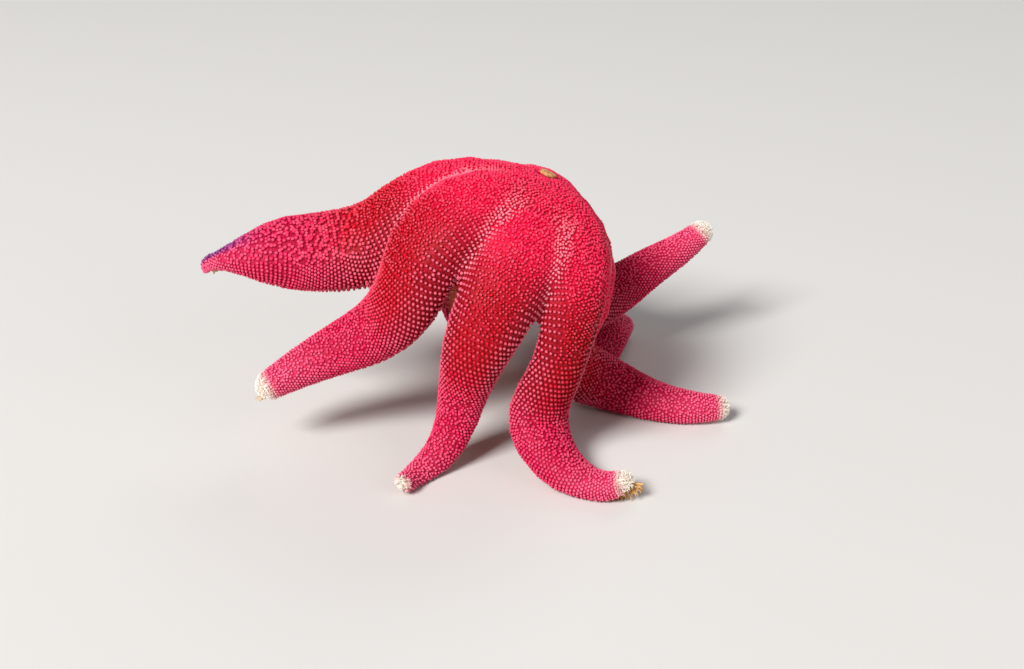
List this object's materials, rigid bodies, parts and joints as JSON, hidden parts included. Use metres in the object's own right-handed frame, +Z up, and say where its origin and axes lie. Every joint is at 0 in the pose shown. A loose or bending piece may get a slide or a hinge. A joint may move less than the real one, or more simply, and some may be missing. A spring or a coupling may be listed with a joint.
{
  "type": "smooth sun star",
  "caption": "Still model of a many-armed sun star, a red and pink starfish humped up on the tips of its arms, with a domed disc and beaded skin.",
  "frame": {"origin": "on the floor, under the middle of the body's box", "axes": "+Z up; the front of the pose, with arms 2, 3 and 4, faces -Y; arm 1 reaches to -X"},
  "size_m": [0.1586, 0.1338, 0.0808],
  "materials": {
    "skin": "crimson, wet living skin",
    "beads": "pink beads of short spines over the skin, cream at the arms' tips",
    "tips": "cream white arm tips",
    "tube_feet": "translucent ochre tube feet",
    "madreporite": "sandy chalk plate with fine furrows"
  },
  "bodies": {
    "root": {"arm_1_far": "skin", "arm_1_near": "skin", "arm_1_tip": "tips", "arm_2_far": "skin", "arm_2_near": "skin", "arm_2_tip": "tips", "arm_3_far": "skin", "arm_3_near": "skin", "arm_3_tip": "tips", "arm_4_far": "skin", "arm_4_near": "skin", "arm_4_tip": "tips", "arm_5_far": "skin", "arm_5_near": "skin", "arm_5_tip": "tips", "arm_6_far": "skin", "arm_6_near": "skin", "arm_6_tip": "tips", "arm_7_far": "skin", "arm_7_near": "skin", "arm_7_tip": "tips", "arm_8_far": "skin", "arm_8_near": "skin", "arm_8_tip": "tips", "arm_9_far": "skin", "arm_9_near": "skin", "arm_9_tip": "tips", "disc": "skin", "madreporite": "madreporite"}
  },
  "joints": []
}
